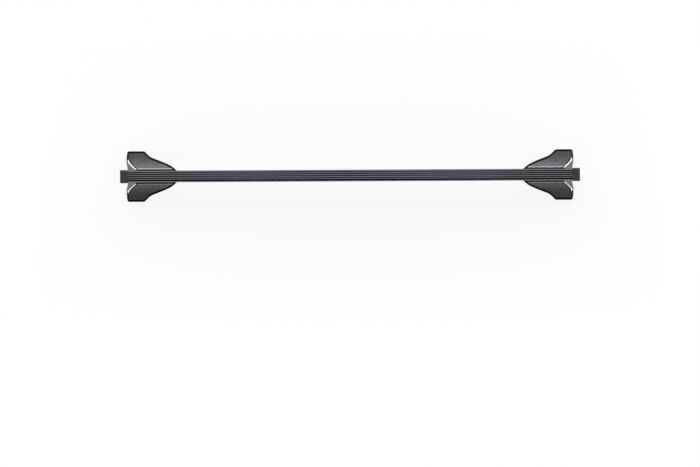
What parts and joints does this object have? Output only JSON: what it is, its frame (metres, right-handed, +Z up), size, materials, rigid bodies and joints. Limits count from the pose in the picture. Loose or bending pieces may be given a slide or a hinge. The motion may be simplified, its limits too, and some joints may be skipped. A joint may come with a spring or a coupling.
{
  "type": "roof rack crossbar",
  "caption": "Ribbed, coated steel crossbar on two moulded feet that slide along a rail under the bar, each foot with a screw driven clamp inside.",
  "frame": {"origin": "middle of the crossbar at the height of the feet's base", "axes": "+X along the bar, +Y across the bar fore and aft, +Z up from the feet to the bar"},
  "size_m": [1.18, 0.131, 0.0918],
  "materials": {
    "bar_coat": "satin, fine grain",
    "tube_steel": "mill",
    "zinc_rail": "zinc plated",
    "cap_plastic": "fine ribbed",
    "foot_plastic": "satin, fine grain",
    "zinc_steel": "zinc plated"
  },
  "bodies": {
    "bar": {"bar_tube": "tube_steel", "bar_sleeve": "bar_coat", "slide_rail_left": "zinc_rail", "end_cap_left": "cap_plastic", "slide_rail_right": "zinc_rail", "end_cap_right": "cap_plastic"},
    "foot_left": {"foot_body_left": "foot_plastic", "foot_cover_left": "foot_plastic", "thrust_bracket_left": "zinc_steel", "clamp_washer_left": "zinc_steel", "tee_bolt_left": "zinc_steel", "tee_washer_left": "zinc_steel", "tee_nut_left": "zinc_steel"},
    "clamp_bolt_left": {"clamp_bolt_left": "zinc_steel"},
    "draw_nut_left": {"draw_nut_left": "zinc_steel"},
    "foot_right": {"foot_body_right": "foot_plastic", "foot_cover_right": "foot_plastic", "thrust_bracket_right": "zinc_steel", "clamp_washer_right": "zinc_steel", "tee_bolt_right": "zinc_steel", "tee_washer_right": "zinc_steel", "tee_nut_right": "zinc_steel"},
    "clamp_bolt_right": {"clamp_bolt_right": "zinc_steel"},
    "draw_nut_right": {"draw_nut_right": "zinc_steel"}
  },
  "joints": [
    {"name": "foot_slide_left", "type": "slide", "parent": "bar", "child": "foot_left", "axis": [1, 0, 0], "range_m": [0, 0.07]},
    {"name": "clamp_turn_left", "type": "hinge", "parent": "foot_left", "child": "clamp_bolt_left", "pos_m": [-0.5044, 0, 0.0468], "axis": [-1, 0, 0], "range_deg": [0, 2304]},
    {"name": "nut_draw_left", "type": "slide", "parent": "foot_left", "child": "draw_nut_left", "axis": [1, 0, 0], "range_m": [0, 0.0081]},
    {"name": "foot_slide_right", "type": "slide", "parent": "bar", "child": "foot_right", "axis": [-1, 0, 0], "range_m": [0, 0.07]},
    {"name": "clamp_turn_right", "type": "hinge", "parent": "foot_right", "child": "clamp_bolt_right", "pos_m": [0.5044, 0, 0.0468], "axis": [1, 0, 0], "range_deg": [0, 2304]},
    {"name": "nut_draw_right", "type": "slide", "parent": "foot_right", "child": "draw_nut_right", "axis": [-1, 0, 0], "range_m": [0, 0.0081]}
  ],
  "couplings": [
    {"joint": "nut_draw_left", "follows": "clamp_turn_left", "m_per_rad": 0.00019894},
    {"joint": "nut_draw_right", "follows": "clamp_turn_right", "m_per_rad": 0.00019894}
  ]
}
